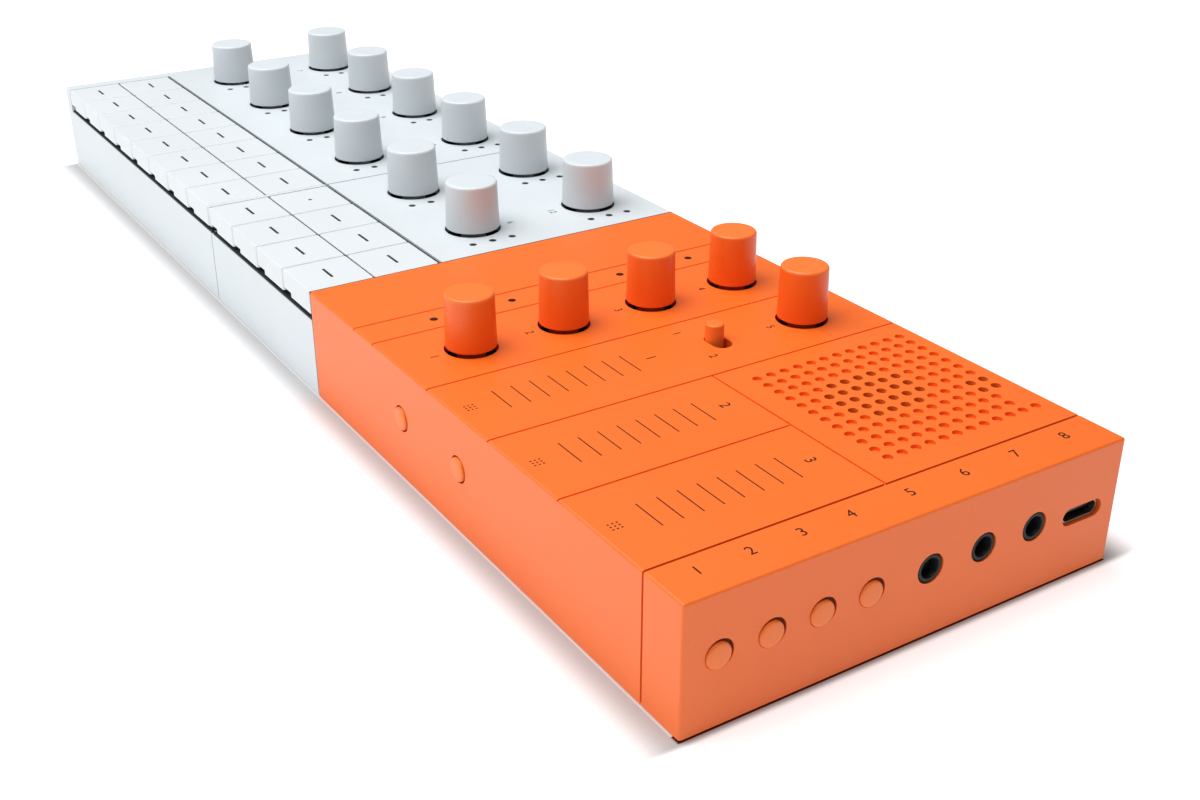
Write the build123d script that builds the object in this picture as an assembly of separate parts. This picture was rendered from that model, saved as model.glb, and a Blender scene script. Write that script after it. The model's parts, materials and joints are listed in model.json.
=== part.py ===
from build123d import *
import math
import os

# Along X, from the white end to the socket end
end_border = 4.9
key_pitch = 16.3
left_columns = 8
centre_columns = 4
section_gap = 1.4
header_band = 23.4
lamp_band = 8.95
knob_band = 24.45
strip_band = 24.2
last_strip = 25.25
end_cap_length = 10.65

# Along Y, from the player's side to the back
front_key_depth = 15.8
back_key_depth = 16.8
panel_depth = 64.4

# Up Z, from the table
foot_rise = 0.5
body_height = 25.4
knob_rise = 12.1
key_skirt = 5.45

# Shells
wall = 2.0
panel_thickness = 2.0
base_thickness = 2.0
base_clearance = 0.1
edge_round = 0.5
seam_gap = 0.4
cap_gap = 0.5
cap_tongue = 4.0
tongue_thickness = 1.2
tongue_clearance = 0.1
bulkhead = 2.0

# Keys and the deck that guides them
key_gap = 0.35
row_gap = 0.4
panel_gap = 0.8
key_band = 1.65
key_travel = 1.0
key_wall = 1.4
key_top = 1.8
key_corner = 0.5
key_round = 0.35
notch_width = 4.5
notch_height = 1.05
deck_thickness = 1.6
stem_size = 5.0
guide_clearance = 0.15
hook_reach = 0.6
hook_width = 2.4
hook_height = 1.2
stem_tip = 1.25
dash_length = 5.6
dash_width = 0.7
lens_depth = 0.4
lens_radius = 0.9
key_lens_radius = 0.5
dot_column = 8

# Knobs, their shafts and encoders
white_knob_foot = 6.55
white_knob_head = 6.2
orange_knob_foot = 5.3
orange_knob_head = 5.05
knob_gap = 0.7
knob_round = 0.45
knob_foot_round = 0.2
knob_hole_clearance = 0.25
knob_bore_depth = 8.0
shaft_radius = 3.0
shaft_fit = 0.02
bush_clearance = 0.05
bush_wall = 1.2
bush_height = 4.0
encoder_size = 12.0
encoder_height = 6.5
encoder_floor = 1.0
white_row_setback = 16.6
white_back_setback = 14.8
white_lamp_reach = 10.0
white_lamp_pitch = 5.3
white_lamps = 3
orange_row_setback = 16.3
orange_back_setback = 15.15
orange_row_knobs = 4
orange_lamp_shifts = (0.0, -3.0, 3.0, 0.0)

# Orange panel
groove_width = 0.4
groove_depth = 0.4
touch_width = 49.5
grille_margin_x = 5.9
grille_margin_y = 6.6
grille_end_margin = 6.7
grille_back_margin = 4.1
grille_pitch = 3.34
grille_hole = 1.0
dimple_depth = 0.7
speaker_cells_in = 5
sound_radius = 9.6
mic_cells = (2.5, 6)
mic_cells_in = 0.5
mic_radius = 3.2
mic_height = 3.0
plain_columns = (9, 10)

# Mode slider
slider_radius = 1.95
slider_side_clearance = 0.25
slider_travel = 2.5
slider_rise = 3.7
slider_round = 0.35
slider_plate_margin = 1.2
slider_plate = 1.2
slider_drop = 1.0
slider_peg_radius = 1.0
slider_peg_dip = 1.6
slide_switch_length = 10.0
slide_switch_width = 6.0
slide_switch_gap = 3.1
slide_switch_slot = 2.0

# Round push buttons in the walls
button_radius = 2.45
button_clearance = 0.35
button_proud = 0.5
button_round = 0.45
button_flange = 0.9
button_flange_thickness = 1.0
button_play = 0.1
button_stem = 1.5
button_stem_length = 2.0
button_travel = 0.6
press_gap = 0.1
control_rise = 3.65
end_button_setback = 7.2
end_button_pitch = 10.3
end_buttons = 4

# Sockets in the end cap
jack_gap = 13.0
jacks = 3
jack_bore = 1.8
jack_bore_depth = 12.0
jack_nose = 2.55
jack_hole = 2.9
jack_set = 0.5
jack_width = 7.4
jack_length = 12.5
usb_setback = 8.8
usb_rise = 2.55
usb_mouth_width = 8.4
usb_mouth_height = 2.6
usb_shell = 0.3
usb_length = 7.4
usb_hole_width = 10.0
usb_hole_height = 3.6
usb_set = 1.0
usb_tongue_width = 6.7
usb_tongue_height = 0.7
usb_mouth_depth = 5.6

# Board, its switches and the battery
standoff_radius = 2.5
board_thickness = 1.6
board_margin = 2.5
post_clearance = 0.5
switch_size = 6.2
switch_height = 2.0
dome_radius = 1.75
dome_height = 1.0
tact_depth = 3.0
tact_width = 6.0
battery_length = 62.0
battery_width = 38.0
battery_gap = 1.0
battery_round = 1.8
rest_gap = 4.0

# Speaker under the grille
speaker_radius = 15.0
speaker_rim = 2.5
speaker_frame = 3.0
cone_depth = 1.5
cone_thickness = 0.6
magnet_radius = 9.0
magnet_height = 5.0

# Screws, posts and feet
post_radius = 3.0
post_rib = 1.6
post_setback = 1.0
screw_radius = 1.2
pilot_clearance = 0.05
screw_tip_gap = 0.5
head_radius = 2.4
head_height = 1.2
head_sink = 0.2
head_clearance = 0.2
recess_sides = 6
recess_radius = 1.1
recess_depth = 0.7
panel_post_inset = 5.9
end_post_inset = 9.5
section_post_inset = 7.5
joint_post_inset = 5.7
orange_post_inset = 7.6
orange_post_side = 6.5
cap_boss_y = 30.0
foot_radius = 6.0
foot_seat = 1.0
foot_end_inset = 33.5
foot_inset = 8.5

# How far a cutting solid runs past the face it opens
spill = 1.0

# Places along X
columns = left_columns + centre_columns
white_length = end_border + columns * key_pitch + section_gap
orange_length = header_band + lamp_band + knob_band + 2 * strip_band + last_strip
length = white_length + orange_length + end_cap_length
x_left = -length / 2
x_keys = x_left + end_border
x_section = x_keys + left_columns * key_pitch
x_centre = x_section + section_gap
x_joint = x_left + white_length
x_lamps = x_joint + header_band
x_knobs = x_lamps + lamp_band
x_strips = x_knobs + knob_band
x_second = x_strips + strip_band
x_third = x_second + strip_band
x_cap = x_joint + orange_length
x_right = length / 2
x_knob_row = (x_knobs + x_strips) / 2
x_lone_knob = (x_strips + x_second) / 2

# Places along Y
depth = front_key_depth + back_key_depth + panel_depth
y_front = -depth / 2
y_back = depth / 2
y_rows = y_front + front_key_depth
y_panel = y_rows + back_key_depth
y_touch = y_front + touch_width

# Places along Z
z_base = foot_rise
z_top = z_base + body_height
z_knob = z_top + knob_rise
z_under = z_top - panel_thickness
z_inside = z_base + base_thickness
z_key = z_top - key_skirt
z_deck = z_key - key_band
z_hook = z_deck - deck_thickness - press_gap / 2
z_stem = z_hook - hook_height - stem_tip
z_dome = z_stem - key_travel - press_gap
z_parts = z_dome - dome_height - switch_height
z_board = z_parts - board_thickness
z_battery = z_board - battery_gap
z_control = z_parts + control_rise
z_usb = z_parts + usb_rise
z_screw = z_board - screw_tip_gap

knob_rows = [y_panel + white_row_setback, y_back - white_back_setback]
orange_row_pitch = (depth - orange_row_setback - orange_back_setback) / (orange_row_knobs - 1)
orange_rows = [y_front + orange_row_setback + i * orange_row_pitch for i in range(orange_row_knobs)]
end_button_rows = [y_front + end_button_setback + i * end_button_pitch for i in range(end_buttons)]
y_usb = y_back - usb_setback
y_jacks = end_button_rows[-1] + jack_gap
jack_pitch = (y_usb - y_jacks) / jacks
jack_rows = [y_jacks + i * jack_pitch for i in range(jacks)]
x_grille = x_second + grille_margin_x
y_grille = y_touch + grille_margin_y
grille_columns = int((x_cap - grille_end_margin - x_grille) / grille_pitch) + 1
grille_rows = int((y_back - grille_back_margin - y_grille) / grille_pitch) + 1
x_speaker = x_grille + speaker_cells_in * grille_pitch
x_mic = x_speaker + mic_cells[0] * grille_pitch
y_mic = y_grille + (grille_rows - 1 - mic_cells_in) * grille_pitch
y_speaker = y_mic - mic_cells[1] * grille_pitch
side_button_columns = (x_knob_row, x_lone_knob)
slider_slot = slider_radius + slider_side_clearance
x_slider = x_lone_knob - slider_travel / 2
y_slider = orange_rows[2]
x_cap_inner = x_right - wall
y_front_inner = y_front + wall


def column_x(k):
    start = x_keys if k < left_columns else x_keys + section_gap
    return start + (k + 0.5) * key_pitch


knob_columns = [(column_x(2 * j) + column_x(2 * j + 1)) / 2 for j in range(columns // 2)]


def block(x0, x1, y0, y1, z0, z1):
    middle = Pos((x0 + x1) / 2, (y0 + y1) / 2, (z0 + z1) / 2)
    return middle * Box(x1 - x0, y1 - y0, z1 - z0)


def upright(x, y, z0, z1, radius):
    return Pos(x, y, (z0 + z1) / 2) * Cylinder(radius, z1 - z0)


def along_x(x0, x1, y, z, radius):
    return Pos((x0 + x1) / 2, y, z) * Rot(0, 90, 0) * Cylinder(radius, x1 - x0)


def along_y(y0, y1, x, z, radius):
    return Pos(x, (y0 + y1) / 2, z) * Rot(90, 0, 0) * Cylinder(radius, y1 - y0)


def edges_at(shape, axis, **places):
    found = shape.edges().filter_by(axis)
    for name, place in places.items():
        found = [e for e in found if abs(getattr(e.center(), name) - place) < 1e-4]
    return list(found)


def keep(node, *pieces):
    solids = [s for piece in pieces for s in piece.solids()]
    export_step(Compound(solids), f"parts/{node}.step")


# Screw posts: every shell stands on the base cover at its posts
y_post_front = y_panel + panel_post_inset
y_post_back = y_back - wall - post_setback - post_radius
left_posts = [(x, y) for x in (x_left + end_post_inset, x_section - section_post_inset)
              for y in (y_post_front, y_post_back)]
centre_posts = [(x, y) for x in (x_centre + joint_post_inset, x_joint - joint_post_inset)
                for y in (y_post_front, y_post_back)]
orange_posts = [(x, y) for x in (x_joint + orange_post_inset, x_cap - orange_post_inset)
                for y in (y_front + orange_post_side, y_post_back)]
x_boss = x_cap_inner - post_setback - post_radius
cap_posts = [(x_boss, y) for y in (-cap_boss_y, cap_boss_y)]
through_posts = left_posts + centre_posts + orange_posts
all_posts = through_posts + cap_posts


def post(x, y):
    solid = upright(x, y, z_inside, z_under, post_radius)
    if y == y_post_back:
        solid += block(x - post_rib / 2, x + post_rib / 2, y, y_back - wall, z_inside, z_under)
    return solid - pilot_hole(x, y)


def cap_boss(x, y):
    z1 = z_board - base_clearance
    solid = upright(x, y, z_inside, z1, post_radius)
    solid += block(x, x_cap_inner, y - post_rib / 2, y + post_rib / 2, z_inside, z1)
    return solid - pilot_hole(x, y)


def pilot_hole(x, y):
    return upright(x, y, z_inside - spill, z_screw + press_gap, screw_radius + pilot_clearance)


def lamp_pocket(x, y):
    return upright(x, y, z_top - lens_depth, z_top + spill, lens_radius)


def knob_hole(x, y, foot):
    return upright(x, y, z_under - spill, z_top + spill, foot + knob_hole_clearance)


# White shells: a top panel with the knob holes, and a key bay with its guide deck in front
def white_shell(x0, x1, bay_start, closed_end, key_columns, posts):
    shell = block(x0, x1, y_front, y_back, z_base, z_top)
    rounded = edges_at(shell, Axis.X, Y=y_back, Z=z_top)
    if closed_end:
        rounded += edges_at(shell, Axis.X, Y=y_front, Z=z_top)
        rounded += edges_at(shell, Axis.Y, X=x0, Z=z_top)
        rounded += edges_at(shell, Axis.Z, X=x0)
    shell = fillet(rounded, edge_round)
    inner_start = x0 + wall if closed_end else x0 - 1
    shell -= block(inner_start, x1 + spill, y_front_inner, y_back - wall, z_base - spill, z_under)
    shell -= block(bay_start, x1 + spill, y_front - spill, y_panel, z_deck, z_top + spill)
    deck_start = inner_start if closed_end else x0
    deck = block(deck_start, x1, y_front_inner, y_panel, z_deck - deck_thickness, z_deck)
    hole = stem_size / 2 + guide_clearance
    deck -= [block(x - hole, x + hole, y - hole, y + hole, z_deck - deck_thickness, z_deck)
             for x in key_columns for y in (y_front_stem, y_back_stem)]
    shell += deck
    shell += block(deck_start, x1, y_panel, y_panel + wall, z_deck - deck_thickness, z_under)
    if closed_end:
        shell += block(bay_start - wall, bay_start, y_front_inner, y_panel, z_deck, z_under)
    for x, y in posts:
        shell += post(x, y)
    middles = [x for x in knob_columns if x0 < x < x1]
    shell -= [knob_hole(x, y, white_knob_foot) for x in middles for y in knob_rows]
    shell -= [lamp_pocket(x + white_lamp_reach, y + (i - (white_lamps - 1) / 2) * white_lamp_pitch)
              for x in middles for y in knob_rows for i in range(white_lamps)]
    return shell


# Keys: hollow caps on square stems, hooked under the deck
front_key = (y_front, y_rows - row_gap / 2)
back_key = (y_rows + row_gap / 2, y_panel - panel_gap)
y_front_stem = sum(front_key) / 2
y_back_stem = sum(back_key) / 2


def key(row, y_stem, notched, dotted):
    half = (key_pitch - key_gap) / 2
    y0, y1 = row
    cap = block(-half, half, y0, y1, z_key, z_top)
    cap = fillet(cap.edges().filter_by(Axis.Z), key_corner)
    cap = fillet(cap.faces().sort_by(Axis.Z)[-1].edges(), key_round)
    inner = half - key_wall
    cap -= block(-inner, inner, y0 + key_wall, y1 - key_wall, z_key - spill, z_top - key_top)
    if notched:
        cap -= block(-half - spill, -half + notch_width, y0 - spill, y0 + key_wall,
                     z_key - spill, z_key + notch_height)
    reach = stem_size / 2
    cap += block(-reach, reach, y_stem - reach, y_stem + reach, z_stem, z_top - key_top)
    hook = reach + hook_reach
    cap += block(-hook, hook, y_stem - hook_width / 2, y_stem + hook_width / 2, z_hook - hook_height, z_hook)
    if dotted:
        cap -= Pos(0, y_stem, 0) * upright(0, 0, z_top - lens_depth, z_top + spill, key_lens_radius)
    else:
        long, short = dash_length / 2, dash_width / 2
        cap -= block(-long, long, y_stem - short, y_stem + short, z_top - lens_depth, z_top + spill)
    return cap


# Knobs: tapered caps pushed on round shafts
def knob(x, y, foot, head):
    z0 = z_top + knob_gap
    cap = Pos(x, y, (z0 + z_knob) / 2) * Cone(foot, head, z_knob - z0)
    cap = fillet(cap.edges().filter_by(GeomType.CIRCLE).sort_by(Axis.Z)[-1], knob_round)
    cap = fillet(cap.edges().filter_by(GeomType.CIRCLE).sort_by(Axis.Z)[0], knob_foot_round)
    z_bore = z0 + knob_bore_depth
    cap -= upright(x, y, z0 - spill, z_bore, shaft_radius + shaft_fit)
    shaft = upright(x, y, z_parts + encoder_floor, z_bore, shaft_radius)
    return cap, shaft


def encoder(x, y):
    half = encoder_size / 2
    z1 = z_parts + encoder_height
    body = block(x - half, x + half, y - half, y + half, z_parts, z1)
    body += upright(x, y, z1, z1 + bush_height, shaft_radius + bush_clearance + bush_wall)
    bore = upright(x, y, z_parts + encoder_floor, z1 + bush_height + spill, shaft_radius + bush_clearance)
    return body - bore


white_knobs = [(x, y) for y in knob_rows for x in knob_columns]
orange_knobs = [(x_knob_row, y) for y in orange_rows] + [(x_lone_knob, orange_rows[-1])]


# Orange shell: control panel, touch strips, speaker grille and a bulkhead towards the keys
def grille_places():
    for i in range(grille_columns):
        for j in range(grille_rows):
            if not (j == grille_rows - 1 and i in plain_columns):
                yield x_grille + i * grille_pitch, y_grille + j * grille_pitch


def grille_floor(x, y):
    near_speaker = math.hypot(x - x_speaker, y - y_speaker) <= sound_radius
    near_mic = math.hypot(x - x_mic, y - y_mic) <= grille_pitch
    return z_under - spill if near_speaker or near_mic else z_top - dimple_depth


def stadium(x0, x1, y, z0, z1, radius):
    bar = block(x0, x1, y - radius, y + radius, z0, z1)
    return bar + upright(x0, y, z0, z1, radius) + upright(x1, y, z0, z1, radius)


def orange_shell():
    x0 = x_joint + seam_gap / 2
    x1 = x_cap - cap_gap / 2
    shell = block(x0, x1, y_front, y_back, z_base, z_top)
    shell = fillet(edges_at(shell, Axis.X, Z=z_top), edge_round)
    shell -= block(x0 + bulkhead, x1 + spill, y_front_inner, y_back - wall, z_base - spill, z_under)
    shell -= block(x0 - spill, x0 + bulkhead + spill, y_front_inner, y_back - wall,
                   z_base - spill, z_deck - deck_thickness)
    for x, y in orange_posts:
        shell += post(x, y)
    z_groove = z_top - groove_depth
    side = groove_width / 2
    shell -= [block(x - side, x + side, y_front - spill, y_back + spill, z_groove, z_top + spill)
              for x in (x_lamps, x_knobs, x_strips, x_second)]
    shell -= block(x_third - side, x_third + side, y_front - spill, y_touch, z_groove, z_top + spill)
    shell -= block(x_second, x1 + spill, y_touch - side, y_touch + side, z_groove, z_top + spill)
    shell -= [knob_hole(x, y, orange_knob_foot) for x, y in orange_knobs]
    x_lamp = (x_lamps + x_knobs) / 2
    shell -= [lamp_pocket(x_lamp, y + shift) for y, shift in zip(orange_rows, orange_lamp_shifts)]
    reach = slider_travel / 2
    shell -= stadium(x_lone_knob - reach, x_lone_knob + reach, y_slider,
                     z_under - spill, z_top + spill, slider_slot)
    shell -= [along_y(y_front - spill, y_front_inner + spill, x, z_control, button_radius + button_clearance)
              for x in side_button_columns]
    shell -= [upright(x, y, grille_floor(x, y), z_top + spill, grille_hole) for x, y in grille_places()]
    return shell


# End cap: closes the socket end and slides into the orange shell on a tongue
def end_cap():
    x0 = x_cap + cap_gap / 2
    cap = block(x0, x_right, y_front, y_back, z_base, z_top)
    rounded = edges_at(cap, Axis.X, Z=z_top) + edges_at(cap, Axis.Y, X=x_right, Z=z_top)
    rounded += edges_at(cap, Axis.Z, X=x_right)
    cap = fillet(rounded, edge_round)
    cap -= block(x0 - spill, x_cap_inner, y_front_inner, y_back - wall, z_base - spill, z_under)
    lip = tongue_clearance + tongue_thickness
    low, high = y_front_inner, y_back - wall
    root = block(x0, x0 + tongue_thickness, low, high, z_inside, z_under)
    tongue = block(x0 - cap_tongue, x0 + tongue_thickness, low + tongue_clearance, high - tongue_clearance,
                   z_inside, z_under - tongue_clearance)
    hollow = block(x0 - cap_tongue - spill, x0 + tongue_thickness + spill, low + lip, high - lip,
                   z_inside - spill, z_under - lip)
    cap += root + tongue - hollow
    for x, y in cap_posts:
        cap += cap_boss(x, y)
    cap -= [along_x(x_cap_inner - spill, x_right + spill, y, z_control, button_radius + button_clearance)
            for y in end_button_rows]
    cap -= [along_x(x_cap_inner - spill, x_right + spill, y, z_control, jack_hole) for y in jack_rows]
    cap -= lying_slot(x_cap_inner - spill, x_right + spill, usb_hole_width, usb_hole_height)
    return cap


def lying_slot(x0, x1, width, height):
    radius = height / 2
    side = width / 2 - radius
    bar = block(x0, x1, y_usb - side, y_usb + side, z_usb - radius, z_usb + radius)
    return bar + along_x(x0, x1, y_usb - side, z_usb, radius) + along_x(x0, x1, y_usb + side, z_usb, radius)


# Push buttons: a cap in the wall, a flange behind it and a stem to its switch
def end_button(y):
    face = x_right + button_proud
    z = z_control
    cap = along_x(x_cap_inner - button_play, face, y, z, button_radius)
    cap = fillet(cap.edges().filter_by(GeomType.CIRCLE).sort_by(Axis.X)[-1], button_round)
    back = x_cap_inner - button_play - button_flange_thickness
    cap += along_x(back, x_cap_inner - button_play, y, z, button_radius + button_flange)
    return cap + along_x(back - button_stem_length, back, y, z, button_stem)


def side_button(x):
    face = y_front - button_proud
    z = z_control
    cap = along_y(face, y_front_inner + button_play, x, z, button_radius)
    cap = fillet(cap.edges().filter_by(GeomType.CIRCLE).sort_by(Axis.Y)[0], button_round)
    back = y_front_inner + button_play + button_flange_thickness
    cap += along_y(y_front_inner + button_play, back, x, z, button_radius + button_flange)
    return cap + along_y(back, back + button_stem_length, x, z, button_stem)


switch_reach = button_play + button_flange_thickness + button_stem_length + button_travel + press_gap
x_end_tact = x_cap_inner - switch_reach
y_side_tact = y_front_inner + switch_reach


# Mode slider: a round nub on a plate that covers its slot from below, with a peg in its switch
z_plate = z_under - slider_drop
z_slide_switch = z_plate - slider_plate - slide_switch_gap


def mode_slider():
    nub = upright(x_slider, y_slider, z_plate, z_top + slider_rise, slider_radius)
    nub = fillet(nub.edges().filter_by(GeomType.CIRCLE).sort_by(Axis.Z)[-1], slider_round)
    long = slider_slot + slider_travel + slider_plate_margin
    wide = slider_slot + slider_plate_margin
    nub += block(x_slider - long, x_slider + long, y_slider - wide, y_slider + wide,
                 z_plate - slider_plate, z_plate)
    z_peg = z_slide_switch - slider_peg_dip
    return nub + upright(x_slider, y_slider, z_peg, z_plate - slider_plate, slider_peg_radius)


def slide_switch():
    long, wide = slide_switch_length / 2, slide_switch_width / 2
    z1 = z_slide_switch
    body = block(x_lone_knob - long, x_lone_knob + long, y_slider - wide, y_slider + wide, z_parts, z1)
    reach = slider_travel / 2
    return body - stadium(x_lone_knob - reach, x_lone_knob + reach, y_slider,
                          z1 - slide_switch_slot, z1 + spill, slider_peg_radius + slider_side_clearance)


# Board with its soldered switches
def circuit_board():
    edge = wall + board_margin
    x_end = x_cap_inner - base_clearance
    board = block(x_left + edge, x_end, y_front + edge, y_back - edge, z_board, z_parts)
    board -= [upright(x, y, z_board - spill, z_parts + spill, post_radius + post_clearance)
              for x, y in through_posts]
    half = switch_size / 2
    switches = []
    for x in [column_x(k) for k in range(columns)]:
        for y in (y_front_stem, y_back_stem):
            switch = block(x - half, x + half, y - half, y + half, z_parts, z_parts + switch_height)
            switches.append(switch + upright(x, y, z_parts + switch_height, z_dome, dome_radius))
    wide = tact_width / 2
    tact_top = z_control + wide
    switches += [block(x_end_tact - tact_depth, x_end_tact, y - wide, y + wide, z_parts, tact_top)
                 for y in end_button_rows]
    switches += [block(x - wide, x + wide, y_side_tact, y_side_tact + tact_depth, z_parts, tact_top)
                 for x in side_button_columns]
    return [board, *switches, slide_switch()]


# Sockets: three jacks and a flat data socket, all soldered to the board
def jack(y):
    face = x_right - jack_set
    half = jack_width / 2
    x1 = x_cap_inner - button_play
    body = block(face - jack_length, x1, y - half, y + half, z_parts, z_control + half)
    body += along_x(x1, face, y, z_control, jack_nose)
    return body - along_x(face - jack_bore_depth, face + spill, y, z_control, jack_bore)


def usb_socket():
    face = x_right - usb_set
    x0 = face - usb_length
    outer = lying_slot(x0, face, usb_mouth_width + 2 * usb_shell, usb_mouth_height + 2 * usb_shell)
    side = usb_mouth_width / 2 - usb_mouth_height / 2
    outer += block(x0, x_cap_inner - button_play, y_usb - side, y_usb + side, z_parts, z_usb)
    shell = outer - lying_slot(face - usb_mouth_depth, face + spill, usb_mouth_width, usb_mouth_height)
    tongue = usb_tongue_width / 2
    lip = usb_tongue_height / 2
    return shell + block(x0 + usb_shell, face - usb_set, y_usb - tongue, y_usb + tongue,
                         z_usb - lip, z_usb + lip)


# Speaker: rim, cone and magnet hung under the grille, with the microphone capsule beside it
def speaker():
    z0 = z_under - speaker_rim
    inner = speaker_radius - speaker_frame
    basket = upright(x_speaker, y_speaker, z0, z_under, speaker_radius)
    basket -= upright(x_speaker, y_speaker, z_under - cone_depth, z_under + spill, inner)
    cone = upright(x_speaker, y_speaker, z_under - cone_depth, z_under - cone_depth + cone_thickness,
                   inner - base_clearance)
    magnet = upright(x_speaker, y_speaker, z0 - magnet_height, z0, magnet_radius)
    capsule = upright(x_mic, y_mic, z_under - mic_height, z_under, mic_radius)
    return basket, cone, magnet, capsule


# Base cover with board rests, foot seats and screw holes
foot_columns = (x_left + foot_end_inset, 0, x_right - foot_end_inset)
foot_places = [(x, y) for x in foot_columns for y in (y_front + foot_inset, y_back - foot_inset)]
x_battery = (knob_columns[1] + knob_columns[2]) / 2
y_battery = sum(knob_rows) / 2
rest_reach = battery_length / 2 + rest_gap + standoff_radius
board_rests = (x_battery - rest_reach, x_battery + rest_reach, (x_centre + x_joint) / 2, x_lamps, x_second)


def base_cover():
    edge = wall + base_clearance
    cover = block(x_left + edge, x_right - edge, y_front + edge, y_back - edge, z_base, z_inside)
    for x in board_rests:
        cover += upright(x, y_battery, z_inside, z_board, standoff_radius)
    z_head = z_base + head_sink + head_height
    for x, y in all_posts:
        cover -= upright(x, y, z_base - spill, z_head, head_radius + head_clearance)
        cover -= upright(x, y, z_head, z_inside + spill, screw_radius + head_clearance)
    return cover - [upright(x, y, z_base - spill, z_base + foot_seat, foot_radius) for x, y in foot_places]


def screw(x, y):
    z0 = z_base + head_sink
    head = upright(x, y, z0, z0 + head_height, head_radius)
    recess = extrude(RegularPolygon(recess_radius, recess_sides), recess_depth)
    return head + upright(x, y, z0 + head_height, z_screw, screw_radius) - Pos(x, y, z0) * recess


def battery_pack():
    long, wide = battery_length / 2, battery_width / 2
    cell = block(x_battery - long, x_battery + long, y_battery - wide, y_battery + wide,
                 z_inside, z_battery)
    thinnest = min(battery_round, (z_battery - z_inside) / 3)
    return fillet(cell.edges().filter_by(Axis.X), thinnest)


os.makedirs("parts", exist_ok=True)

x_half = x_section + section_gap / 2
left_keys = [column_x(k) for k in range(left_columns)]
centre_keys = [column_x(k) for k in range(left_columns, columns)]
keep("left_housing", white_shell(x_left, x_half - seam_gap / 2, x_keys, True, left_keys, left_posts))
keep("centre_housing", white_shell(x_half + seam_gap / 2, x_joint - seam_gap / 2, x_half, False, centre_keys,
                                   centre_posts))
keep("orange_housing", orange_shell())
keep("orange_end_cap", end_cap())
keep("base_cover", base_cover())
keep("circuit_board", *circuit_board())
keep("rotary_encoders", *[encoder(x, y) for x, y in white_knobs + orange_knobs])
keep("sockets", *[jack(y) for y in jack_rows], usb_socket())
keep("speaker_and_mic", *speaker())
keep("battery_pack", battery_pack())
keep("rubber_feet", *[upright(x, y, 0, z_base + foot_seat, foot_radius) for x, y in foot_places])
keep("case_screws", *[screw(x, y) for x, y in all_posts])

front = key(front_key, y_front_stem, True, False)
back = key(back_key, y_back_stem, False, False)
dotted_back = key(back_key, y_back_stem, False, True)
for k in range(columns):
    place = Pos(column_x(k), 0, 0)
    keep(f"key_front_{k + 1:02d}", place * front)
    keep(f"key_back_{k + 1:02d}", place * (dotted_back if k == dot_column else back))

for i, (x, y) in enumerate(white_knobs):
    keep(f"white_knob_{i + 1:02d}", *knob(x, y, white_knob_foot, white_knob_head))
for i, (x, y) in enumerate(orange_knobs):
    keep(f"orange_knob_{i + 1}", *knob(x, y, orange_knob_foot, orange_knob_head))
for i, y in enumerate(end_button_rows):
    keep(f"end_button_{i + 1}", end_button(y))
for i, x in enumerate(side_button_columns):
    keep(f"side_button_{i + 1}", side_button(x))
keep("mode_slider", mode_slider())
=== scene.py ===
import bmesh
import bpy
import json
import math
from mathutils import Matrix, Vector


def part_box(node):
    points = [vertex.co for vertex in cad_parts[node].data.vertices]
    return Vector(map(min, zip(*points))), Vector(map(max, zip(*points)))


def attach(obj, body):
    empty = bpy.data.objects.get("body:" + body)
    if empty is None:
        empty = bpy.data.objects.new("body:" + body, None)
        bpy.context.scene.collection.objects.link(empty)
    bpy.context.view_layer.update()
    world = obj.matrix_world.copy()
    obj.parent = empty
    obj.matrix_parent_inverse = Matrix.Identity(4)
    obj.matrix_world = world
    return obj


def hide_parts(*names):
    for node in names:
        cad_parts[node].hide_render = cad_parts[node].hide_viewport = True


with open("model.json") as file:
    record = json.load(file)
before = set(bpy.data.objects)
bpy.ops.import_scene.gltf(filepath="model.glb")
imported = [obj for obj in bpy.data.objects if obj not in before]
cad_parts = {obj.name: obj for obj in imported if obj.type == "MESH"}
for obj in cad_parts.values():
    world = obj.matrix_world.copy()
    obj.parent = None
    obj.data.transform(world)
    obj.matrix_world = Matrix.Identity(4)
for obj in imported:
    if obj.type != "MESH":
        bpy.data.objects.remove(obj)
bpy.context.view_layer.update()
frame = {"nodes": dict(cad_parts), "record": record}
nodes = frame["nodes"]
mm = 0.001
print("frame loaded:", len(nodes), "nodes")


# View, light and floor

camera = {
    "place": (316.04, -155.40, 150.82),   # mm, in the part's frame
    "forward": (-0.75147, 0.48001, -0.45263),
    "right": (0.53779, 0.84308, 0.00122),
    "lens": 44.18,
    "sensor": 36.0,
}


def placeCamera():
    bpy.ops.object.camera_add()
    made = bpy.context.object
    made.name = "photoCamera"
    forward = Vector(camera["forward"]).normalized()
    right = Vector(camera["right"])
    right = (right - forward * right.dot(forward)).normalized()
    up = right.cross(forward)
    turn = Matrix((right, up, -forward)).transposed().to_4x4()
    made.matrix_world = Matrix.Translation(Vector(camera["place"]) * mm) @ turn
    made.data.sensor_fit = "HORIZONTAL"
    made.data.sensor_width = camera["sensor"]
    made.data.lens = camera["lens"]
    made.data.clip_start = 0.01
    bpy.context.scene.camera = made


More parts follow.
